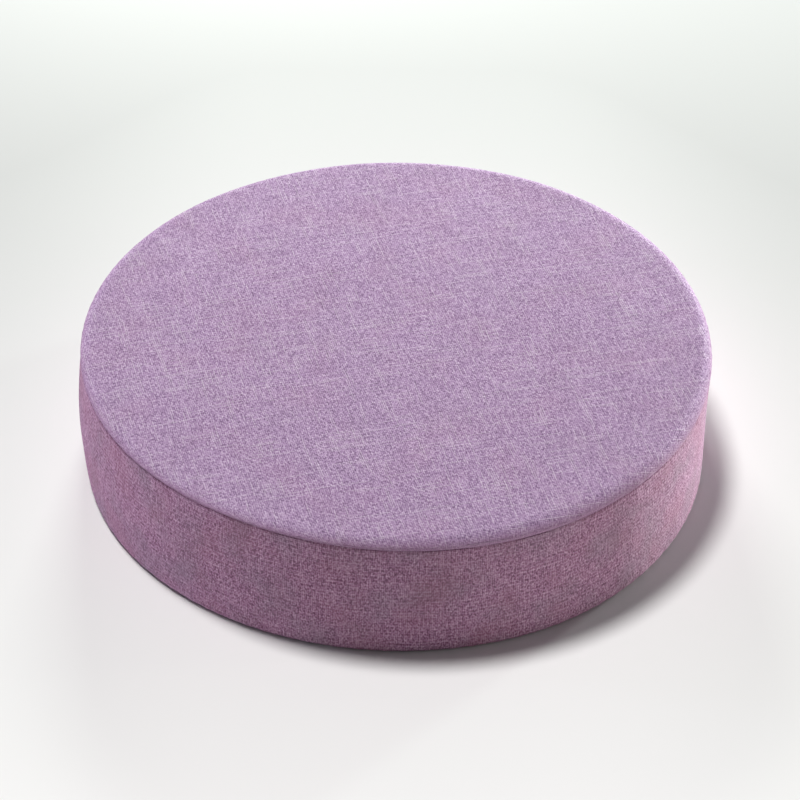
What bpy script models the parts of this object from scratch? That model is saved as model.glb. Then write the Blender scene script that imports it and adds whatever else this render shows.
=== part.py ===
"""Round box cushion in lilac cloth: a crowned top panel, a filled side band and a flat base panel.

Metres, +Z up. The cushion lies on its base, its origin is in the middle of the base and its front is at -Y.
Directions are in degrees from +X towards +Y. A point of a section is (distance from the axis, height).
"""

from collections import namedtuple
from math import acos, cos, degrees, radians, sin

import bmesh
import bpy

# Driving dimensions
DIAMETER = 0.450
THICKNESS = 0.100
CLOTH = 0.002
GAP = 0.0003
CROWN = 0.003

# The rim is the round edge of the top panel. It turns in under itself to the upper seam.
RADIUS = DIAMETER / 2
RIM_RADIUS = 0.0062
RIM_TURN = -40
RIM_HEIGHT = THICKNESS - CROWN

# The band comes out of the upper seam round a small shoulder and turns under at the foot to the lower seam.
BAND_INSET = 0.0006
BAND_RADIUS = RADIUS - BAND_INSET
SHOULDER_RADIUS = 0.003
FOOT_RADIUS = 0.004
FOOT_TURN = -60

# The base is flat out to here, and its edge then rises to the lower seam.
LIP_WIDTH = 0.009
FLAT_RADIUS = BAND_RADIUS - LIP_WIDTH

# The strip's two ends are sewn together at the back, in an upright seam.
JOIN_DIRECTION = 90
JOIN_HALF_WIDTH = 0.8
JOIN_DEPTH = 0.0012

# The panels are pulled out of true only near the edge, over this width.
UNEVEN_WIDTH = 0.055
TRUE_RADIUS = RADIUS - UNEVEN_WIDTH

# Points along a section and round the cushion
DIRECTIONS = 96
CROWN_STEPS = 6
RIM_STEPS = 6
SHOULDER_STEPS = 2
BAND_STEPS = 5
FOOT_STEPS = 4
LIP_STEPS = 2

# How the sewn cushion leaves the true round: direction in degrees, the rest in millimetres.
# The rim and the foot stand out or in, the upper seam lies higher at the left front, and the
# band swells most at the left.
Uneven = namedtuple("Uneven", "direction rim_out foot_out seam_drop swell")
UNEVEN = (
    Uneven(0, -0.8, -1.7, 9.0, 0.8),
    Uneven(30, 0.8, -0.6, 8.5, 1.3),
    Uneven(60, 1.4, 0.0, 8.7, 1.7),
    Uneven(90, -0.3, 0.0, 10.1, 2.0),
    Uneven(120, -0.5, -0.1, 10.4, 2.4),
    Uneven(150, -0.1, -0.2, 9.5, 3.3),
    Uneven(180, -0.5, 0.0, 7.8, 4.4),
    Uneven(210, -0.8, 1.3, 5.1, 3.8),
    Uneven(240, -0.8, 1.6, 4.1, 2.8),
    Uneven(270, -0.1, 1.4, 7.1, 2.1),
    Uneven(300, -0.1, 2.4, 9.2, 1.6),
    Uneven(330, -0.5, -0.1, 9.3, 1.0),
)
MILLIMETRE = 0.001

LILAC = (0.450, 0.315, 0.470)
MAUVE = (0.375, 0.240, 0.345)
CLOTH_ROUGHNESS = 0.9
SHARP_ANGLE = radians(45)


def uneven(column, direction):
    """One column of the table at any direction, on a smooth curve through its rows, in metres."""
    place = direction % 360 * len(UNEVEN) / 360
    row = int(place)
    part = place - row
    before, start, end, after = (getattr(UNEVEN[(row + k) % len(UNEVEN)], column) for k in (-1, 0, 1, 2))
    slope_in = (end - before) / 2
    slope_out = (after - start) / 2
    bend = 3 * (end - start) - 2 * slope_in - slope_out
    twist = slope_in + slope_out - 2 * (end - start)
    return (start + part * (slope_in + part * (bend + part * twist))) * MILLIMETRE


def smooth_step(low, high, value):
    """0 below low, 1 above high, and an S-curve between."""
    part = min(max((value - low) / (high - low), 0.0), 1.0)
    return part * part * (3 - 2 * part)


def on_arc(centre, radius, angle, past=0.0):
    """A point of an arc that runs clockwise, moved past it along its tangent."""
    turn = radians(angle)
    return (centre[0] + radius * cos(turn) + past * sin(turn), centre[1] + radius * sin(turn) - past * cos(turn))


def arc(centre, radius, start, end, steps):
    """The points of an arc, both ends included."""
    return [on_arc(centre, radius, start + (end - start) * k / steps) for k in range(steps + 1)]


RIM_CENTRE = (RADIUS - RIM_RADIUS, RIM_HEIGHT - RIM_RADIUS)
FOOT_CENTRE = (BAND_RADIUS - FOOT_RADIUS, FOOT_RADIUS)
SEAM_HEIGHT = on_arc(RIM_CENTRE, RIM_RADIUS, RIM_TURN)[1]
SEAM_DROP = RIM_HEIGHT - SEAM_HEIGHT


def top_line(depth):
    """From the axis over the crown and round the rim to the upper seam, this deep under the outer face."""
    flat = RIM_CENTRE[0]
    crown = [(flat * k / CROWN_STEPS, THICKNESS - depth - CROWN * (k / CROWN_STEPS) ** 2)
             for k in range(CROWN_STEPS)]
    return crown + arc(RIM_CENTRE, RIM_RADIUS - depth, 90, RIM_TURN, RIM_STEPS)


def base_line(depth):
    """From the lower seam in to the flat of the base and on to the axis, this deep above its outer face."""
    edge = on_arc(FOOT_CENTRE, FOOT_RADIUS - depth, FOOT_TURN, GAP if depth <= CLOTH else 0.0)
    lip = []
    for k in range(LIP_STEPS):
        part = 1 - k / LIP_STEPS
        lip.append((FLAT_RADIUS + (edge[0] - FLAT_RADIUS) * part, depth + (edge[1] - depth) * part ** 2))
    return lip + [(FLAT_RADIUS, depth), (0.0, depth)]


def band_line():
    """From the upper seam over the shoulder, down the side and round the foot to the lower seam."""
    seam = on_arc(RIM_CENTRE, RIM_RADIUS, RIM_TURN, GAP)
    inset = BAND_RADIUS - SHOULDER_RADIUS
    start = acos((seam[0] - inset) / SHOULDER_RADIUS)
    shoulder = (inset, seam[1] - SHOULDER_RADIUS * sin(start))
    fall = shoulder[1] - FOOT_CENTRE[1]
    side = [(BAND_RADIUS, shoulder[1] - fall * k / BAND_STEPS) for k in range(1, BAND_STEPS)]
    return (arc(shoulder, SHOULDER_RADIUS, degrees(start), 0, SHOULDER_STEPS) + side
            + arc(FOOT_CENTRE, FOOT_RADIUS, 0, FOOT_TURN, FOOT_STEPS))


def settled(point, direction):
    """Where a point of the true section lies on the sewn cushion."""
    reach, height = point
    near_edge = smooth_step(TRUE_RADIUS, RIM_CENTRE[0], reach)
    drop = uneven("seam_drop", direction)
    if height >= SEAM_HEIGHT:
        moved = RIM_HEIGHT - (RIM_HEIGHT - height) * drop / SEAM_DROP
    else:
        moved = height * (RIM_HEIGHT - drop) / SEAM_HEIGHT
    share = min(max(height / THICKNESS, 0.0), 1.0)
    up_band = min(max((height - FOOT_RADIUS) / (SEAM_HEIGHT - FOOT_RADIUS), 0.0), 1.0)
    out = uneven("foot_out", direction) * (1 - share) + uneven("rim_out", direction) * share
    out += uneven("swell", direction) * 4 * up_band * (1 - up_band)
    if height < SEAM_HEIGHT and reach > FOOT_CENTRE[0] and abs(direction - JOIN_DIRECTION) < JOIN_HALF_WIDTH:
        out -= JOIN_DEPTH
    return (reach + near_edge * out, height + near_edge * (moved - height))


def directions():
    """Even directions round the cushion, with two more beside the upright seam at the back."""
    even = [360 * k / DIRECTIONS for k in range(DIRECTIONS)]
    beside = [JOIN_DIRECTION - JOIN_HALF_WIDTH, JOIN_DIRECTION + JOIN_HALF_WIDTH]
    return sorted(even + beside)


def loft(name, section, material, collection):
    """A closed solid through the settled sections, which all run from the axis out and back to the axis."""
    skin = bmesh.new()
    start = skin.verts.new((0.0, 0.0, section[0][1]))
    end = skin.verts.new((0.0, 0.0, section[-1][1]))
    rows = []
    for direction in directions():
        turn = radians(direction)
        row = []
        for point in section[1:-1]:
            reach, height = settled(point, direction)
            row.append(skin.verts.new((reach * cos(turn), reach * sin(turn), height)))
        rows.append([start] + row + [end])
    for here, there in zip(rows, rows[1:] + rows[:1]):
        skin.faces.new((start, here[1], there[1]))
        skin.faces.new((here[-2], end, there[-2]))
        for k in range(1, len(here) - 2):
            skin.faces.new((here[k], here[k + 1], there[k + 1], there[k]))
    mesh = bpy.data.meshes.new(name)
    skin.to_mesh(mesh)
    skin.free()
    mesh.shade_smooth()
    mesh.set_sharp_from_angle(angle=SHARP_ANGLE)
    mesh.materials.append(material)
    piece = bpy.data.objects.new(name, mesh)
    collection.objects.link(piece)
    return piece


def cloth_material(name, colour):
    """Matt cloth of one colour."""
    material = bpy.data.materials.new(name)
    material.use_nodes = True
    shader = material.node_tree.nodes["Principled BSDF"]
    shader.inputs["Base Color"].default_value = (*colour, 1.0)
    shader.inputs["Roughness"].default_value = CLOTH_ROUGHNESS
    shader.inputs["Metallic"].default_value = 0.0
    material.diffuse_color = (*colour, 1.0)
    return material


def make_top_panel(collection):
    """The round panel of the top, drawn over the rim down to the upper seam."""
    section = top_line(0.0) + top_line(CLOTH)[::-1]
    return loft("top_panel", section, cloth_material("top_cloth", LILAC), collection)


def make_side_band(collection):
    """The filled body with the strip that closes it all round, between the two seams."""
    under_panel = top_line(CLOTH + GAP)[:-1]
    ledge = on_arc(RIM_CENTRE, RIM_RADIUS - CLOTH - GAP, RIM_TURN, GAP)
    section = under_panel + [ledge] + band_line() + base_line(CLOTH + GAP)
    return loft("side_band", section, cloth_material("band_cloth", MAUVE), collection)


def make_base_panel(collection):
    """The round panel of the base, flat where it rests, its edge turned up to the lower seam."""
    section = base_line(CLOTH)[::-1] + base_line(0.0)
    return loft("base_panel", section, cloth_material("base_cloth", MAUVE), collection)


def main():
    for item in list(bpy.data.objects):
        bpy.data.objects.remove(item, do_unlink=True)
    collection = bpy.data.collections.new("round_box_cushion")
    bpy.context.scene.collection.children.link(collection)
    make_top_panel(collection)
    make_side_band(collection)
    make_base_panel(collection)


main()
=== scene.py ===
"""A round box cushion in lilac linen-look cloth, lying on a plain pale floor.

Metres, +Z up, the front at -Y. Directions are degrees from +X towards +Y. A point of a section is
(distance from the upright axis, height). The cloth's own map, "cloth", is in metres too.
"""

from collections import namedtuple
from math import acos, cos, degrees, pi, radians, sin

import bpy
import numpy as np
from mathutils import Matrix, Vector, noise


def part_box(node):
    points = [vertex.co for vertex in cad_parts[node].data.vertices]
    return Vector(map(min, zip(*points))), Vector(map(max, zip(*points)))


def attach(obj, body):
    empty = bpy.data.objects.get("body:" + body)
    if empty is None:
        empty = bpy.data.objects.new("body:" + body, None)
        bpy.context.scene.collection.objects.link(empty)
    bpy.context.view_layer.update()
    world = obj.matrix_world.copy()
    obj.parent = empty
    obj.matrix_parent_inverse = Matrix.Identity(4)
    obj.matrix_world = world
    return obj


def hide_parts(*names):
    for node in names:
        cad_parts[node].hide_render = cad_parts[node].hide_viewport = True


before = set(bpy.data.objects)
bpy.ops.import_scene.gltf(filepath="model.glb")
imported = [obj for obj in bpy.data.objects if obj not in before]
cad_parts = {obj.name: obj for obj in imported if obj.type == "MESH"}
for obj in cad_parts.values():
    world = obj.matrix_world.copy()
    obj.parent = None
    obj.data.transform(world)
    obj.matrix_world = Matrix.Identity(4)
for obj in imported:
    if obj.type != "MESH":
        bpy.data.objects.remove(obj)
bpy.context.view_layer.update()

MILLIMETRE = 0.001

# The cushion's own sizes, as the solids have them. The rim is rounder than theirs.
RADIUS = 0.225
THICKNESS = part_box("top_panel")[1].z
CLOTH = 0.002
CROWN = 0.003
RIM_RADIUS = 0.0085
RIM_TURN = -25
RIM_HEIGHT = THICKNESS - CROWN
BAND_INSET = 0.0006
BAND_RADIUS = RADIUS - BAND_INSET
SHOULDER_RADIUS = 0.003
FOOT_RADIUS = 0.004
FOOT_TURN = -60
LIP_WIDTH = 0.009
LIP_LEAN = 20
FLAT_RADIUS = BAND_RADIUS - LIP_WIDTH
UNEVEN_WIDTH = 0.055
TRUE_RADIUS = RADIUS - UNEVEN_WIDTH

# The strip's two ends are sewn together at the back, in an upright seam. The points on it count as the
# strip's start by a hair's breadth, in degrees.
JOIN_DIRECTION = 90
JOIN_DEPTH = 0.0011
JOIN_WIDTH = 0.0016
JOIN_FADE = 0.002
JOIN_HAIR = 1e-4

# At a seam each cloth turns in round a small fold, and the two folds stay this far apart.
FOLD_RADIUS = 0.0006
SEAM_GAP = 0.0001
SLACK_UNDER = 0.0006

# How finely the cloth is laid out before its last subdivision, and its hidden rings from the edge in
ROUND_STEPS = 384
GRID_SPAN = ROUND_STEPS // 4
LIP_STEPS = 6
OUTER_RING = 0.205
DISC_RADIUS = 0.190
INNER_RING = 0.125
LAST_RING = 0.060

# How the sewn cushion leaves the true round: direction in degrees, the rest in millimetres.
Uneven = namedtuple("Uneven", "direction rim_out foot_out seam_drop swell")
UNEVEN = (
    Uneven(0, -0.8, -1.7, 9.0, 0.8),
    Uneven(30, 0.8, -0.6, 8.5, 1.3),
    Uneven(60, 1.4, 0.0, 8.7, 1.7),
    Uneven(90, -0.3, 0.0, 10.1, 2.0),
    Uneven(120, -0.5, -0.1, 10.4, 2.4),
    Uneven(150, -0.1, -0.2, 9.5, 3.3),
    Uneven(180, -0.5, 0.0, 7.8, 4.4),
    Uneven(210, -0.8, 1.1, 5.1, 3.8),
    Uneven(240, -0.8, 0.9, 4.1, 2.8),
    Uneven(270, -0.1, 1.4, 7.1, 2.1),
    Uneven(300, -0.1, 2.4, 9.2, 1.6),
    Uneven(330, -0.5, -0.1, 9.3, 1.0),
)

# Small gathers that the sewing leaves in the cloth beside a seam: how many go round, and their share.
# They start just past the seam's fold, and slow waves cover the rest of the cloth.
Gather = namedtuple("Gather", "count share phase")
GATHERS = (Gather(89, 0.40, 0.3), Gather(127, 0.35, 1.9), Gather(163, 0.25, 4.1))
GATHER_DEPTH = 0.00030
GATHER_START = 0.0015
GATHER_REACH = 0.007
WAVE_LENGTH = 0.055
WAVE_DEPTH = 0.00045
WAVE_START = 0.02

# The swelling of the padded cloth under pressure. It is held at a seam and free this far from it.
PRESSURE = 4.0
SWELL_FRAMES = 20
TOP_SWELL = 0.0010
BAND_SWELL = 0.0008
HELD_TO = 0.002
TOP_FREE_FROM = 0.014
BAND_FREE_FROM = 0.016


# The true section

def on_arc(centre, radius, angle):
    """A point of an arc."""
    turn = radians(angle)
    return (centre[0] + radius * cos(turn), centre[1] + radius * sin(turn))


def arc(centre, radius, start, end, steps):
    """The points of an arc, both ends included."""
    return [on_arc(centre, radius, start + (end - start) * k / steps) for k in range(steps + 1)]


def inside_arc(centre, radius, angle, smaller):
    """The centre of a smaller arc that carries on from this angle of an arc."""
    return on_arc(centre, radius - smaller, angle)


RIM_CENTRE = (RADIUS - RIM_RADIUS, RIM_HEIGHT - RIM_RADIUS)
RIM_FOLD = inside_arc(RIM_CENTRE, RIM_RADIUS, RIM_TURN, FOLD_RADIUS)
SEAM_HEIGHT = RIM_FOLD[1] - FOLD_RADIUS - SEAM_GAP / 2
SEAM_DROP = RIM_HEIGHT - SEAM_HEIGHT
FOOT_CENTRE = (BAND_RADIUS - FOOT_RADIUS, FOOT_RADIUS)
FOOT_FOLD = inside_arc(FOOT_CENTRE, FOOT_RADIUS, FOOT_TURN, FOLD_RADIUS)
LOWER_SEAM_RUN = FOOT_RADIUS * (1 + radians(FOOT_TURN))


def crown_height(reach, depth):
    """The height of the crowned top at this distance from the axis, this deep under its outer face."""
    return THICKNESS - depth - CROWN * (reach / RIM_CENTRE[0]) ** 2


def spread(start, end, steps):
    """Even steps from start up to, but not including, end."""
    return [start + (end - start) * k / steps for k in range(steps)]


def top_outer():
    """The top panel from its disc out over the rim to the fold of the upper seam."""
    flat = [(reach, crown_height(reach, 0.0)) for reach in spread(DISC_RADIUS, RIM_CENTRE[0], 6)]
    rim = arc(RIM_CENTRE, RIM_RADIUS, 90, RIM_TURN, 10)
    return flat + rim + arc(RIM_FOLD, FOLD_RADIUS, RIM_TURN, -90, 4)[1:]


def under_top(depth):
    """From the upper seam back under the top panel, hidden."""
    reaches = (OUTER_RING, DISC_RADIUS, INNER_RING, LAST_RING)
    flat = [(reach, crown_height(reach, depth)) for reach in reaches]
    return arc(RIM_CENTRE, RIM_RADIUS - depth, RIM_TURN, 90, 6) + flat


def band_outer():
    """The band from the fold of the upper seam down the side and round the foot to the lower seam's fold."""
    top = SEAM_HEIGHT - SEAM_GAP / 2
    inset = BAND_RADIUS - SHOULDER_RADIUS
    seam_reach = RIM_FOLD[0] + FOLD_RADIUS * cos(radians(RIM_TURN))
    start = acos((seam_reach - inset) / SHOULDER_RADIUS)
    fold = (inset + (SHOULDER_RADIUS - FOLD_RADIUS) * cos(start), top - FOLD_RADIUS)
    shoulder = (inset, fold[1] - (SHOULDER_RADIUS - FOLD_RADIUS) * sin(start))
    upper_fold = arc(fold, FOLD_RADIUS, 90, degrees(start), 3)
    upper = arc(shoulder, SHOULDER_RADIUS, degrees(start), 0, 5)[1:]
    side = [(BAND_RADIUS, height) for height in spread(shoulder[1], FOOT_CENTRE[1], 16)[1:]]
    foot = arc(FOOT_CENTRE, FOOT_RADIUS, 0, FOOT_TURN, 7)
    lower_fold = arc(FOOT_FOLD, FOLD_RADIUS, FOOT_TURN, FOOT_TURN - 90, 4)[1:]
    return upper_fold + upper + side + foot + lower_fold


def under_band(edge):
    """From the lower seam back under the filled body, hidden."""
    flat = [(reach, CLOTH + SLACK_UNDER + MILLIMETRE) for reach in (OUTER_RING, INNER_RING, LAST_RING)]
    return [(edge[0] - FOLD_RADIUS, edge[1] + 2 * MILLIMETRE)] + flat


def base_outer():
    """The base panel from its flat out to its edge, which turns up just under the fold of the lower seam."""
    edge = on_arc(FOOT_FOLD, FOLD_RADIUS, FOOT_TURN - 45)
    lip = []
    for k in range(1, LIP_STEPS):
        part = k / LIP_STEPS
        lip.append((FLAT_RADIUS + (edge[0] - SEAM_GAP - FLAT_RADIUS) * part, edge[1] * part ** 2))
    lean = radians(LIP_LEAN)
    fold = (lip[-1][0] - FOLD_RADIUS * sin(lean), lip[-1][1] + FOLD_RADIUS * cos(lean))
    return [(DISC_RADIUS, 0.0), (FLAT_RADIUS, 0.0)] + lip + arc(fold, FOLD_RADIUS, LIP_LEAN - 90, 0, 3)[1:]


def inside_base(edge):
    """From the edge of the base panel back over its inner face, hidden."""
    flat = [(reach, CLOTH) for reach in (FLAT_RADIUS, DISC_RADIUS, INNER_RING, LAST_RING)]
    return [(edge[0] - 1.5 * MILLIMETRE, CLOTH + 0.5 * MILLIMETRE)] + flat


# Laying the cloth out in rings

def deselect():
    if bpy.context.object and bpy.context.object.mode != "OBJECT":
        bpy.ops.object.mode_set(mode="OBJECT")
    bpy.ops.object.select_all(action="DESELECT")


def take(piece):
    """Makes a piece the one that the operators work on."""
    deselect()
    piece.select_set(True)
    bpy.context.view_layer.objects.active = piece


def turned(name, section, disc_first):
    """A skin of rings, each extruded from the last. The first ring is closed with a fine grid where it
    shows. The hidden ends stay open until the cloth is finished."""
    deselect()
    reach, height = section[0]
    bpy.ops.mesh.primitive_circle_add(vertices=ROUND_STEPS, radius=reach, fill_type="NOTHING",
                                      location=(0, 0, height))
    piece = bpy.context.object
    piece.name = name
    bpy.ops.object.transform_apply(location=True, rotation=False, scale=False)
    bpy.ops.object.mode_set(mode="EDIT")
    bpy.ops.mesh.select_mode(type="EDGE")
    bpy.ops.mesh.select_all(action="SELECT")
    if disc_first:
        bpy.ops.mesh.fill_grid(span=GRID_SPAN)
        bpy.ops.mesh.select_all(action="DESELECT")
        bpy.ops.mesh.select_non_manifold()
    for here, there in zip(section, section[1:]):
        grow = there[0] / here[0]
        bpy.ops.mesh.extrude_region_move(TRANSFORM_OT_translate={"value": (0, 0, there[1] - here[1])})
        bpy.ops.transform.resize(value=(grow, grow, 1), center_override=(0, 0, 0))
    bpy.ops.object.mode_set(mode="OBJECT")
    return piece


def close_hidden(piece):
    """Closes the hidden ends, each with one face, and turns every face outward."""
    take(piece)
    bpy.ops.object.mode_set(mode="EDIT")
    bpy.ops.mesh.select_all(action="DESELECT")
    bpy.ops.mesh.select_non_manifold()
    bpy.ops.mesh.fill_holes(sides=0)
    bpy.ops.mesh.select_all(action="SELECT")
    bpy.ops.mesh.normals_make_consistent(inside=False)
    bpy.ops.object.mode_set(mode="OBJECT")


# Reading and moving the points of a mesh, all at once

def points_of(mesh):
    points = np.zeros(len(mesh.vertices) * 3, np.float32)
    mesh.vertices.foreach_get("co", points)
    return points.reshape(-1, 3).astype(float)


def set_points(mesh, points):
    mesh.vertices.foreach_set("co", points.astype(np.float32).ravel())
    mesh.update()


def normals_of(mesh):
    normals = np.zeros(len(mesh.vertices) * 3, np.float32)
    mesh.vertex_normals.foreach_get("vector", normals)
    return normals.reshape(-1, 3).astype(float)


def corners_of(mesh):
    """The vertex at each corner of each face."""
    corners = np.zeros(len(mesh.loops), np.int32)
    mesh.loops.foreach_get("vertex_index", corners)
    return corners


def round_places(points):
    """Distance from the axis, and direction in degrees from 0 to 360."""
    return np.hypot(points[:, 0], points[:, 1]), np.degrees(np.arctan2(points[:, 1], points[:, 0])) % 360


def move_out(points, reach, out):
    """Moves points away from the axis by this much each."""
    grow = 1 + out / np.maximum(reach, MILLIMETRE)
    points[:, 0] *= grow
    points[:, 1] *= grow


def smooth_step(low, high, value):
    """0 below low, 1 above high, and an S-curve between."""
    part = np.clip((value - low) / (high - low), 0, 1)
    return part * part * (3 - 2 * part)


# Unevenness

def uneven(column, direction):
    """One column of the table at many directions, on a smooth curve through its rows, in metres."""
    rows = np.array([getattr(row, column) for row in UNEVEN])
    place = direction % 360 * len(rows) / 360
    row = place.astype(int)
    part = place - row
    before, start, end, after = (rows[(row + k) % len(rows)] for k in (-1, 0, 1, 2))
    slope_in = (end - before) / 2
    slope_out = (after - start) / 2
    bend = 3 * (end - start) - 2 * slope_in - slope_out
    twist = slope_in + slope_out - 2 * (end - start)
    return (start + part * (slope_in + part * (bend + part * twist))) * MILLIMETRE


def crown_disc(piece):
    """Raises the middle of the top panel, which the grid left flat, to its crown."""
    points = points_of(piece.data)
    reach = round_places(points)[0]
    on_disc = (reach < DISC_RADIUS) & (points[:, 2] > crown_height(DISC_RADIUS, CLOTH / 2))
    points[on_disc, 2] = crown_height(reach[on_disc], 0.0)
    set_points(piece.data, points)


def settle(piece, swollen):
    """Pulls the true round out of true, as the sewn cushion is. The swell that the pressure gives is
    left off."""
    points = points_of(piece.data)
    reach, direction = round_places(points)
    height = points[:, 2].copy()
    near_edge = smooth_step(TRUE_RADIUS, RIM_CENTRE[0], reach)
    drop = uneven("seam_drop", direction)
    above = RIM_HEIGHT - (RIM_HEIGHT - height) * drop / SEAM_DROP
    below = height * (RIM_HEIGHT - drop) / SEAM_HEIGHT
    moved = np.where(height >= SEAM_HEIGHT, above, below)
    share = np.clip(height / THICKNESS, 0, 1)
    up_band = np.clip((height - FOOT_RADIUS) / (SEAM_HEIGHT - FOOT_RADIUS), 0, 1)
    out = uneven("foot_out", direction) * (1 - share) + uneven("rim_out", direction) * share
    out += (uneven("swell", direction) - swollen) * 4 * up_band * (1 - up_band)
    move_out(points, reach, near_edge * out)
    points[:, 2] = height + near_edge * (moved - height)
    set_points(piece.data, points)


# The cloth's own map, and how far each point is from its seam

def run_over_rim(reach, height):
    """How far along the cloth a point of the top panel is from the panel's middle."""
    past = np.pi / 2 - np.arctan2(height - RIM_CENTRE[1], reach - RIM_CENTRE[0])
    return np.where(reach > RIM_CENTRE[0], RIM_CENTRE[0] + RIM_RADIUS * past, reach)


def run_down_band(reach, height):
    """How far along the cloth a point of the band is above the foot of its side."""
    turn = np.arctan2(height - FOOT_CENTRE[1], reach - FOOT_CENTRE[0])
    return np.where(height < FOOT_CENTRE[1], FOOT_CENTRE[1] + FOOT_RADIUS * turn, height)


def lay_map(mesh, along, across):
    """Writes the cloth's map from two numbers for each corner of each face."""
    layer = mesh.uv_layers.new(name="cloth")
    layer.uv.foreach_set("vector", np.stack([along, across], 1).astype(np.float32).ravel())


def lay_disc_map(piece):
    """A disc's cloth, laid flat again: its threads run straight on over the rim."""
    points = points_of(piece.data)
    reach, direction = round_places(points)
    run = run_over_rim(reach, points[:, 2]) if piece.name.startswith("top") else reach
    turn = np.radians(direction)
    corners = corners_of(piece.data)
    lay_map(piece.data, (run * np.cos(turn))[corners], (run * np.sin(turn))[corners])


def lay_band_map(piece):
    """A band's strip, laid flat: along it from the upright seam, where its map is cut, and up it."""
    mesh = piece.data
    points = points_of(mesh)
    reach, direction = round_places(points)
    corners = corners_of(mesh)
    way = ((direction - JOIN_DIRECTION + JOIN_HAIR) % 360)[corners]
    centres = np.zeros(len(mesh.polygons) * 3, np.float32)
    mesh.polygons.foreach_get("center", centres)
    face_way = (round_places(centres.reshape(-1, 3))[1] - JOIN_DIRECTION) % 360
    sizes = np.zeros(len(mesh.polygons), np.int32)
    mesh.polygons.foreach_get("loop_total", sizes)
    apart = np.repeat(face_way, sizes) - way
    way = way + 360 * np.round(apart / 360)
    lay_map(mesh, np.radians(way) * RADIUS, run_down_band(reach, points[:, 2])[corners])


def note_seam(piece, distance):
    """Keeps each point's distance from its seam, in metres, as an attribute that subdivision carries on."""
    attribute = piece.data.attributes.new("from_seam", "FLOAT", "POINT")
    attribute.data.foreach_set("value", distance.astype(np.float32))


def seam_distance(mesh):
    distance = np.zeros(len(mesh.vertices), np.float32)
    mesh.attributes["from_seam"].data.foreach_get("value", distance)
    return distance.astype(float)


# Padding

def hold(piece, free):
    """Pins the points that the pressure must not move: free is 1 where the cloth may swell."""
    group = piece.vertex_groups.new(name="held")
    for index, share in enumerate(free):
        group.add([index], 1.0 - float(share), "REPLACE")


def swell(piece, most):
    """Blows the padded cloth up with Blender's cloth, and scales the move down to the most that it may be."""
    before = points_of(piece.data)
    take(piece)
    modifier = piece.modifiers.new("swell", "CLOTH")
    modifier.settings.use_pressure = True
    modifier.settings.uniform_pressure_force = PRESSURE
    modifier.settings.effector_weights.gravity = 0
    modifier.settings.vertex_group_mass = "held"
    modifier.point_cache.frame_start = 1
    modifier.point_cache.frame_end = SWELL_FRAMES
    for step in range(1, SWELL_FRAMES + 1):
        bpy.context.scene.frame_set(step)
    bpy.ops.object.modifier_apply(modifier="swell")
    bpy.context.scene.frame_set(1)
    move = points_of(piece.data) - before
    furthest = np.linalg.norm(move, axis=1).max()
    if furthest > most:
        move *= most / furthest
    set_points(piece.data, before + move)


def refine(piece):
    """One subdivision for the finished cloth."""
    take(piece)
    modifier = piece.modifiers.new("refine", "SUBSURF")
    modifier.levels = 1
    modifier.render_levels = 1
    bpy.ops.object.modifier_apply(modifier="refine")
    close_hidden(piece)
    piece.data.shade_smooth()


def gather(piece):
    """Small gathers beside the seam and slow waves over the rest, along the cloth's own normal."""
    mesh = piece.data
    points = points_of(mesh)
    normals = normals_of(mesh)
    direction = round_places(points)[1]
    near = seam_distance(mesh)
    ripple = np.zeros(len(points))
    for row in GATHERS:
        ripple += row.share * np.sin(np.radians(direction) * row.count + row.phase)
    at_fold = smooth_step(0.0, GATHER_START, near)
    depth = GATHER_DEPTH * ripple * np.exp(-near / GATHER_REACH) * at_fold
    waves = np.array([noise.noise(Vector(point / WAVE_LENGTH)) for point in points])
    depth += WAVE_DEPTH * waves * smooth_step(0.0, WAVE_START, near)
    set_points(mesh, points + normals * depth[:, None])


def close_strip(piece):
    """The groove where the strip's two ends are sewn together."""
    points = points_of(piece.data)
    reach, direction = round_places(points)
    beside = np.radians(direction - JOIN_DIRECTION) * RADIUS
    near = seam_distance(piece.data)
    groove = JOIN_DEPTH * np.exp(-(beside / JOIN_WIDTH) ** 2) * smooth_step(0.0, JOIN_FADE, near)
    move_out(points, reach, -groove)
    set_points(piece.data, points)


# Materials

class Wire:
    """A number that changes over the cloth. Sums and products of wires add the Math nodes."""

    def __init__(self, net, socket):
        self.net = net
        self.socket = socket

    def math(self, operation, *others, clamp=False):
        values = {k + 1: other for k, other in enumerate(others)}
        settings = {"operation": operation, "use_clamp": clamp}
        return self.net.node("ShaderNodeMath", settings, {0: self, **values})[0]

    def __add__(self, other):
        return self.math("ADD", other)

    def __sub__(self, other):
        return self.math("SUBTRACT", other)

    def __rsub__(self, other):
        return self.net.node("ShaderNodeMath", {"operation": "SUBTRACT"}, {0: other, 1: self})[0]

    def __mul__(self, other):
        return self.math("MULTIPLY", other)

    def __truediv__(self, other):
        return self.math("DIVIDE", other)

    __radd__ = __add__
    __rmul__ = __mul__

    def floor(self):
        return self.math("FLOOR")

    def fraction(self):
        return self.math("FRACT")

    def wrap(self, size):
        return self.math("FLOORED_MODULO", size)

    def smooth(self, low, high):
        """0 below low, 1 above high, and an S-curve between."""
        return self.net.node("ShaderNodeMapRange", {"interpolation_type": "SMOOTHSTEP"},
                             {"Value": self, "From Min": low, "From Max": high})["Result"]

    def held(self):
        """The same number, kept from 0 to 1."""
        return self.math("ADD", 0.0, clamp=True)


class Made:
    """A node whose outputs are read by name or number as wires."""

    def __init__(self, net, made):
        self.net = net
        self.made = made

    def __getitem__(self, output):
        return Wire(self.net, self.made.outputs[output])


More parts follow.
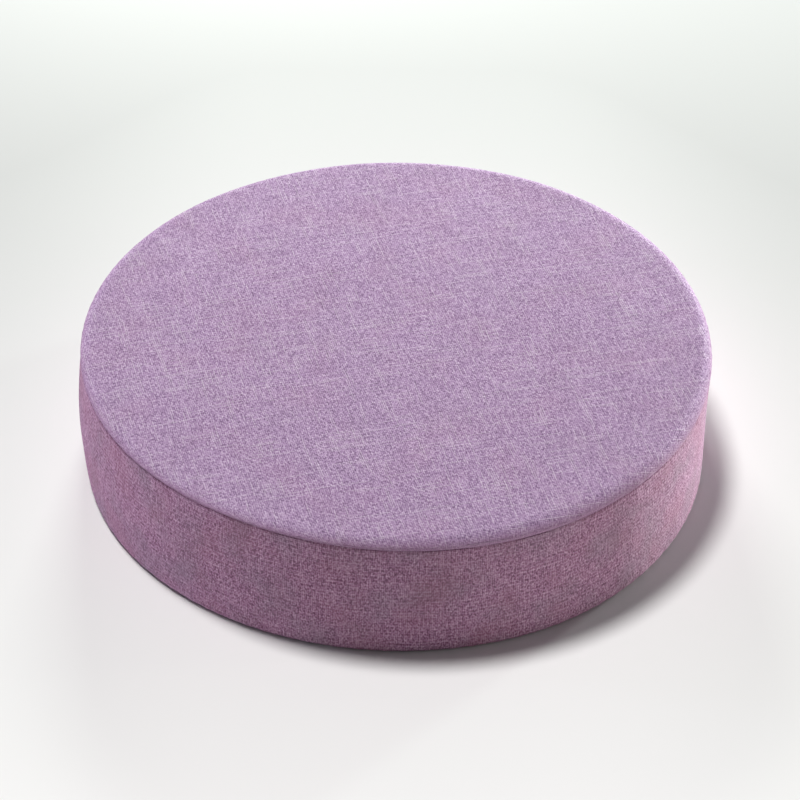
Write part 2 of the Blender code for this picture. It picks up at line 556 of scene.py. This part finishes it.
class Net:
    """The nodes of one material, with its Principled shader."""

    # Noise lies around this middle, and is spread out so that it runs from about -1 to 1.
    NOISE_MIDDLE = 0.5
    NOISE_SPREAD = 2.6

    def __init__(self, name):
        self.material = bpy.data.materials.new(name)
        self.material.use_nodes = True
        self.tree = self.material.node_tree
        self.shader = self.tree.nodes["Principled BSDF"]

    def node(self, kind, settings=None, values=None):
        """Adds a node, sets its settings first and then the values or links of its sockets."""
        made = self.tree.nodes.new(kind)
        for name, value in (settings or {}).items():
            setattr(made, name, value)
        self.feed(made, values or {})
        return Made(self, made)

    def feed(self, made, values):
        for name, value in values.items():
            if isinstance(value, Wire):
                self.tree.links.new(value.socket, made.inputs[name])
            else:
                made.inputs[name].default_value = value

    def pair(self, first, second):
        """A place made of two numbers."""
        return self.node("ShaderNodeCombineXYZ", values={"X": first, "Y": second})["Vector"]

    def blotches(self, first, second, detail=0.0):
        """Soft noise around 0, with blotches about one unit across."""
        values = {"Vector": self.pair(first, second), "Scale": 1.0, "Detail": detail, "Roughness": 0.5}
        made = self.node("ShaderNodeTexNoise", {"noise_dimensions": "2D"}, values)
        return (made["Fac"] - self.NOISE_MIDDLE) * self.NOISE_SPREAD

    def speckle(self, first, second):
        """An unrelated number from -1 to 1 for each pair of whole numbers."""
        values = {"Vector": self.pair(first, second)}
        return self.node("ShaderNodeTexWhiteNoise", {"noise_dimensions": "2D"}, values)["Value"] * 2.0 - 1.0

    def blend(self, share, first, second):
        """A colour between two colours. A Mix node's colours go in at 6 and 7 and come out at 2."""
        settings = {"data_type": "RGBA", "clamp_factor": True}
        return self.node("ShaderNodeMix", settings, {0: share, 6: first, 7: second})[2]


# The cloth's colours, in linear light
LILAC = (0.400, 0.258, 0.442, 1.0)
LILAC_DEEP = (0.197, 0.119, 0.222, 1.0)
LILAC_PALE = (0.716, 0.579, 0.737, 1.0)
# The band and the base are the same cloth as the top. Their mauve is painted shade: redder and darker than
# the lilac, as the side looks in shade.
SHADED_MAUVE = (0.436, 0.218, 0.357, 1.0)
SHADED_MAUVE_DEEP = (0.210, 0.092, 0.160, 1.0)
SHADED_MAUVE_PALE = (0.738, 0.507, 0.674, 1.0)
DUST = (0.240, 0.220, 0.260, 1.0)
ROSE = (0.360, 0.145, 0.210, 1.0)

# The threads: how wide one is, how the top's run across the picture, and how far they wander
THREAD = 0.0014
TOP_TURN = 15.5
WANDER = 0.8
WANDER_SCALE = 0.03

# Noise over the weave, in blotches a thread: across the threads and along them
WARP_TONE = (3.17, 0.09)
WEFT_TONE = (3.71, 0.07)
WARP_SLUB = (5.13, 0.045)
WEFT_SLUB = (4.57, 0.030)
SLUB_RANGE = (0.40, 0.70)
BUNCH = (0.09, 0.06)
BUNCH_SHARE = 0.2
BROAD = (0.022, 0.60)
FUZZ = (1.2, 0.8)

# How much each of them lightens or darkens the cloth, around its middle shade
MIDDLE = 0.5
TONE_SHARE = 0.12
BROAD_SHARE = 0.06
GRAIN_SHARE = 0.20
FUZZ_SHARE = 0.38
# The weave's relief is also painted in as shade: paler on the crowns of the yarns, darker between them.
RELIEF_SHADE_SHARE = 0.50
RELIEF_SHADE_MIDDLE = 0.6
PALE_SHARE = 1.2

# Soft patches of other colour, in patches a metre
DUSTY = 28.0
ROSY = 24.0
PATCH_RANGE = (-0.3, 0.9)

# The relief of the weave, and the cloth's finish
WEAVE_DEPTH = 0.0003
WEAVE_STRENGTH = 0.9
CLOTH_ROUGHNESS = 0.92
SLUB_SHINE = 0.10
CLOTH_GLOSS = 0.25
SHEEN = 0.06
SHEEN_TINT = (0.90, 0.80, 0.88, 1.0)

# Beside a seam the cloth is painted darker, over these distances from it: painted shade where the top's rim
# turns down away from the light, and painted shade in each seam's groove.
PAINTED_RIM_SHADE_REACH = 0.014
PAINTED_SEAM_SHADE_REACH = 0.002

# edge is the colour of the painted shade on the top's rim and rim its share there; fold is the share of
# painted shade in a seam's groove, in the deep colour.
Look = namedtuple("Look", "plain deep pale edge turn slub grain rib mottle rim fold")
TOP_LOOK = Look(plain=LILAC, deep=LILAC_DEEP, pale=LILAC_PALE, edge=SHADED_MAUVE, turn=TOP_TURN,
                slub=0.48, grain=1.0, rib=0.0, mottle=0.08, rim=0.6, fold=0.25)
BAND_LOOK = Look(plain=SHADED_MAUVE, deep=SHADED_MAUVE_DEEP, pale=SHADED_MAUVE_PALE, edge=SHADED_MAUVE, turn=0.0,
                 slub=0.22, grain=1.2, rib=0.10, mottle=0.35, rim=0.0, fold=0.25)
BASE_LOOK = Look(plain=SHADED_MAUVE, deep=SHADED_MAUVE_DEEP, pale=SHADED_MAUVE_PALE, edge=SHADED_MAUVE, turn=TOP_TURN,
                 slub=0.30, grain=1.0, rib=0.0, mottle=0.10, rim=0.0, fold=0.0)

Weave = namedtuple("Weave", "weft tone slub body broad grain fuzz")


def weave(net, along, across, degrees_round):
    """A plain weave of uneven yarn: each crossing shows the yarn that lies on top, and thick pale slubs
    run along some yarns both ways."""
    turn = radians(degrees_round)
    warp = (along * cos(turn) + across * sin(turn)) / THREAD
    weft = (across * cos(turn) - along * sin(turn)) / THREAD
    warp = warp + net.blotches(warp * WANDER_SCALE, weft * WANDER_SCALE, detail=2.0) * WANDER
    weft = weft + net.blotches(warp * WANDER_SCALE + 40.0, weft * WANDER_SCALE, detail=2.0) * WANDER

    warp_yarn, weft_yarn = warp.floor(), weft.floor()
    warp_side, weft_side = warp.fraction(), weft.fraction()
    warp_round = warp_side * (1.0 - warp_side) * 4.0
    weft_round = weft_side * (1.0 - weft_side) * 4.0
    weft_up = (warp_yarn + weft_yarn).wrap(2.0)
    warp_up = 1.0 - weft_up

    warp_tone = net.blotches(warp_yarn * WARP_TONE[0], weft * WARP_TONE[1], detail=1.0)
    weft_tone = net.blotches(weft_yarn * WEFT_TONE[0] + 90.0, warp * WEFT_TONE[1], detail=1.0)
    bunch = BUNCH_SHARE * net.blotches(warp * BUNCH[0], weft * BUNCH[1])
    warp_slub = net.blotches(warp_yarn * WARP_SLUB[0], weft * WARP_SLUB[1] + 30.0) + bunch
    weft_slub = net.blotches(weft_yarn * WEFT_SLUB[0], warp * WEFT_SLUB[1] + 60.0) + bunch
    warp_slub = warp_slub.smooth(*SLUB_RANGE) * warp_round * (0.35 + 0.65 * warp_up)
    weft_slub = weft_slub.smooth(*SLUB_RANGE) * weft_round * (0.35 + 0.65 * weft_up)
    # The height of the yarn on top at each crossing, which the colour also paints as shade.
    warp_body = warp_up * warp_round * (0.55 + 0.45 * weft_round)
    weft_body = weft_up * weft_round * (0.55 + 0.45 * warp_round)
    float_row = (weft * 0.5 + warp_yarn.wrap(2.0) * 0.5).floor()
    return Weave(
        weft=weft,
        tone=warp_up * warp_tone + weft_up * weft_tone,
        slub=warp_slub + weft_slub,
        body=warp_body + weft_body,
        broad=net.blotches(warp * BROAD[0], weft * BROAD[1], detail=1.0),
        grain=net.speckle(warp_yarn, float_row),
        fuzz=net.blotches(warp * FUZZ[0], weft * FUZZ[1]),
    )


def cloth_colour(net, look, woven, along, across):
    """The woven cloth's colour, with its pale slubs and soft patches, and painted shade between the yarns, on
    the top's rim and in each seam's groove.
    """
    uneven_shade = TONE_SHARE * woven.tone + BROAD_SHARE * woven.broad
    fine_shade = look.grain * (GRAIN_SHARE * woven.grain + FUZZ_SHARE * woven.fuzz)
    # The last term is painted shade of the weave's relief, darker between the yarns.
    shade = MIDDLE + uneven_shade + fine_shade + RELIEF_SHADE_SHARE * (woven.body - RELIEF_SHADE_MIDDLE)
    shade = shade + look.rib * (woven.weft * pi).math("SINE")
    colour = net.blend((shade / MIDDLE).held(), look.deep, look.plain)
    colour = net.blend(((shade - MIDDLE) * PALE_SHARE).held(), colour, look.pale)
    colour = net.blend((woven.slub * look.slub).held(), colour, look.pale)

    dusty = net.blotches(along * DUSTY, across * DUSTY, detail=2.0).smooth(*PATCH_RANGE)
    rosy = net.blotches(along * ROSY + 17.0, across * ROSY, detail=2.0).smooth(*PATCH_RANGE)
    colour = net.blend(dusty * look.mottle, colour, DUST)
    colour = net.blend(rosy * look.mottle, colour, ROSE)

    seam = net.node("ShaderNodeAttribute", {"attribute_name": "from_seam"})["Fac"]
    # Painted shade on the top's rim, where it turns down to the upper seam.
    colour = net.blend((1.0 - seam.smooth(0.0, PAINTED_RIM_SHADE_REACH)) * look.rim, colour, look.edge)
    # Painted shade in each seam's groove, in the cloth's deep colour.
    return net.blend((1.0 - seam.smooth(0.0, PAINTED_SEAM_SHADE_REACH)) * look.fold, colour, look.deep)


def linen(name, look):
    """Linen-look cloth, matt, with the relief of its weave."""
    net = Net(name)
    laid = net.node("ShaderNodeUVMap", {"uv_map": "cloth"})["UV"]
    place = net.node("ShaderNodeSeparateXYZ", values={"Vector": laid})
    along, across = place["X"], place["Y"]
    woven = weave(net, along, across, look.turn)
    relief = woven.body + 0.9 * woven.slub + 0.10 * woven.tone + 0.5 * woven.fuzz
    bump = {"Strength": WEAVE_STRENGTH, "Distance": WEAVE_DEPTH, "Height": relief}
    net.feed(net.shader, {
        "Base Color": cloth_colour(net, look, woven, along, across),
        "Roughness": CLOTH_ROUGHNESS - SLUB_SHINE * woven.slub,
        "Normal": net.node("ShaderNodeBump", values=bump)["Normal"],
        "Specular IOR Level": CLOTH_GLOSS,
        "Sheen Weight": SHEEN,
        "Sheen Roughness": 0.5,
        "Sheen Tint": SHEEN_TINT,
    })
    return net.material


# The floor is paler in front, where less light falls on it than at the back and at the sides.
FLOOR_BACK = (0.470, 0.470, 0.470, 1.0)
FLOOR_FRONT = (0.970, 0.970, 0.970, 1.0)
FLOOR_ROUGHNESS = 0.9
FLOOR_GLOSS = 0.1
FLOOR_SIZE = 12
SIDE_RANGE = (0.1, 0.4)
SIDE_SHARE = 0.2


def floor_finish():
    """Pale matt floor."""
    net = Net("pale_floor")
    laid = net.node("ShaderNodeTexCoord")["Object"]
    place = net.node("ShaderNodeSeparateXYZ", values={"Vector": laid})
    aside = place["X"].math("ABSOLUTE").smooth(*SIDE_RANGE)
    colour = net.blend((0.5 - place["Y"] - SIDE_SHARE * aside).held(), FLOOR_BACK, FLOOR_FRONT)
    net.feed(net.shader, {
        "Base Color": colour,
        "Roughness": FLOOR_ROUGHNESS,
        "Specular IOR Level": FLOOR_GLOSS,
    })
    return net.material


# The cushion's pieces

def finish_piece(piece, node, cloth):
    piece.data.materials.clear()
    piece.data.materials.append(cloth)
    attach(piece, "root")
    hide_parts(node)


def make_top_panel():
    """The crowned top panel, drawn over the rim and turned in at the upper seam."""
    piece = turned("top_panel_cloth", top_outer() + under_top(CLOTH), disc_first=True)
    crown_disc(piece)
    points = points_of(piece.data)
    reach, height = round_places(points)[0], points[:, 2]
    lay_disc_map(piece)
    seam_run = run_over_rim(*on_arc(RIM_CENTRE, RIM_RADIUS, RIM_TURN))
    distance = np.maximum(seam_run - run_over_rim(reach, height), 0.0)
    from_rim = np.hypot(reach - RIM_CENTRE[0], height - RIM_CENTRE[1])
    outside = np.where(reach > RIM_CENTRE[0], from_rim > RIM_RADIUS - CLOTH / 2,
                       height > crown_height(reach, CLOTH / 2))
    note_seam(piece, np.where(outside, distance, 0.0))
    hold(piece, outside * smooth_step(HELD_TO, TOP_FREE_FROM, distance))
    settle(piece, 0.0)
    swell(piece, TOP_SWELL)
    refine(piece)
    gather(piece)
    finish_piece(piece, "top_panel", linen("top_linen", TOP_LOOK))


def make_side_band():
    """The filled body in its strip of cloth, drawn in at both seams, with its upright seam at the back."""
    shown = band_outer()
    section = under_top(CLOTH + SLACK_UNDER)[::-1] + shown + under_band(shown[-1])
    piece = turned("side_band_cloth", section, disc_first=False)
    points = points_of(piece.data)
    reach, height = round_places(points)[0], points[:, 2]
    lay_band_map(piece)
    from_upper = SEAM_HEIGHT - height
    from_lower = run_down_band(reach, height) - LOWER_SEAM_RUN
    distance = np.maximum(np.minimum(from_upper, from_lower), 0.0)
    outside = reach > FOOT_CENTRE[0] + MILLIMETRE
    note_seam(piece, np.where(outside, distance, 0.0))
    hold(piece, outside * smooth_step(HELD_TO, BAND_FREE_FROM, distance))
    settle(piece, BAND_SWELL)
    swell(piece, BAND_SWELL)
    refine(piece)
    gather(piece)
    close_strip(piece)
    finish_piece(piece, "side_band", linen("band_linen", BAND_LOOK))


def make_base_panel():
    """The base panel, flat where it rests, its edge turned up to the lower seam."""
    shown = base_outer()
    piece = turned("base_panel_cloth", shown + inside_base(shown[-1]), disc_first=True)
    lay_disc_map(piece)
    note_seam(piece, np.zeros(len(piece.data.vertices)))
    settle(piece, 0.0)
    refine(piece)
    finish_piece(piece, "base_panel", linen("base_linen", BASE_LOOK))


# The camera: a long lens, fitted to the outline and the seam of the cushion in the photograph.
# The last two are in the photograph's pixels.
LOOK_AT = Vector((0, 0, 0.050))
CAMERA_DISTANCE = 2.381
CAMERA_ELEVATION = 38.15
CAMERA_ROLL = 0.70
CAMERA_SEES_TO = 50
SENSOR = 36.0
PHOTO = 800
FOCAL_PIXELS = 3309
MIDDLE_AT = (396.1, 388.7)


def make_camera():
    """Looks from the photograph's angle, turned so that the cushion's middle lies where it does there."""
    data = bpy.data.cameras.new("camera")
    data.sensor_width = SENSOR
    data.lens = FOCAL_PIXELS * SENSOR / PHOTO
    data.clip_end = CAMERA_SEES_TO
    camera = bpy.data.objects.new("camera", data)
    bpy.context.scene.collection.objects.link(camera)
    rise = radians(CAMERA_ELEVATION)
    back = Vector((0, -cos(rise), sin(rise)))
    up = Vector((0, sin(rise), cos(rise)))
    side = Vector((1, 0, 0))
    pixel = CAMERA_DISTANCE / FOCAL_PIXELS
    aim = LOOK_AT + side * (PHOTO / 2 - MIDDLE_AT[0]) * pixel - up * (PHOTO / 2 - MIDDLE_AT[1]) * pixel
    place = LOOK_AT + back * CAMERA_DISTANCE
    turn = (aim - place).to_track_quat("-Z", "Y").to_matrix() @ Matrix.Rotation(radians(CAMERA_ROLL), 3, "Z")
    camera.matrix_world = Matrix.Translation(place) @ turn.to_4x4()
    bpy.context.scene.camera = camera


# The light from above leans over from the back left. The small lamps lie behind and beside the cushion:
# they light the two ends of the band and leave its front in shade.
SUN_STRENGTH = 2.72
SUN_COLOUR = (1.0, 0.985, 0.975)
SUN_WIDTH = 12
SUN_FROM = (-0.21, 0.16, 1.0)
SKY = (1.0, 1.0, 1.0, 1.0)
SKY_STRENGTH = 0.11
BAND_MIDDLE = (0, 0, 0.05)
TOP_MIDDLE = (0, 0, 0.10)
Lamp = namedtuple("Lamp", "name place aim size watts colour")
LAMPS = (
    Lamp("right_back_glow", (1.30, 1.00, 0.065), BAND_MIDDLE, 0.12, 41.3, (0.87, 1.0, 0.92)),
    Lamp("right_glow", (1.70, -0.05, 0.065), BAND_MIDDLE, 0.12, 8.9, (1.0, 0.98, 0.88)),
    Lamp("left_glow", (-1.70, 0.12, 0.065), BAND_MIDDLE, 0.12, 8.7, (0.77, 0.77, 1.0)),
    Lamp("back_glow", (-0.15, 1.30, 0.55), TOP_MIDDLE, 0.40, 16.3, (0.93, 1.0, 0.94)),
)


def add_lamp(name, kind, strength, colour, place, aim):
    data = bpy.data.lights.new(name, kind)
    data.energy = strength
    data.color = colour
    lamp = bpy.data.objects.new(name, data)
    lamp.location = place
    lamp.rotation_mode = "QUATERNION"
    lamp.rotation_quaternion = (Vector(aim) - Vector(place)).to_track_quat("-Z", "Y")
    bpy.context.scene.collection.objects.link(lamp)
    return data


def make_light():
    """The light from above, the lamps and a faint even sky."""
    add_lamp("sun", "SUN", SUN_STRENGTH, SUN_COLOUR, SUN_FROM, (0, 0, 0)).angle = radians(SUN_WIDTH)
    for row in LAMPS:
        add_lamp(row.name, "AREA", row.watts, row.colour, row.place, row.aim).size = row.size
    world = bpy.data.worlds.new("sky")
    world.use_nodes = True
    sky = world.node_tree.nodes["Background"]
    sky.inputs["Color"].default_value = SKY
    sky.inputs["Strength"].default_value = SKY_STRENGTH
    bpy.context.scene.world = world


def make_floor():
    deselect()
    bpy.ops.mesh.primitive_plane_add(size=FLOOR_SIZE, location=(0, 0, 0))
    floor = bpy.context.object
    floor.name = "floor"
    floor.data.materials.append(floor_finish())


make_camera()
make_light()
make_floor()
make_top_panel()
make_side_band()
make_base_panel()
bpy.context.scene.view_settings.view_transform = "Standard"
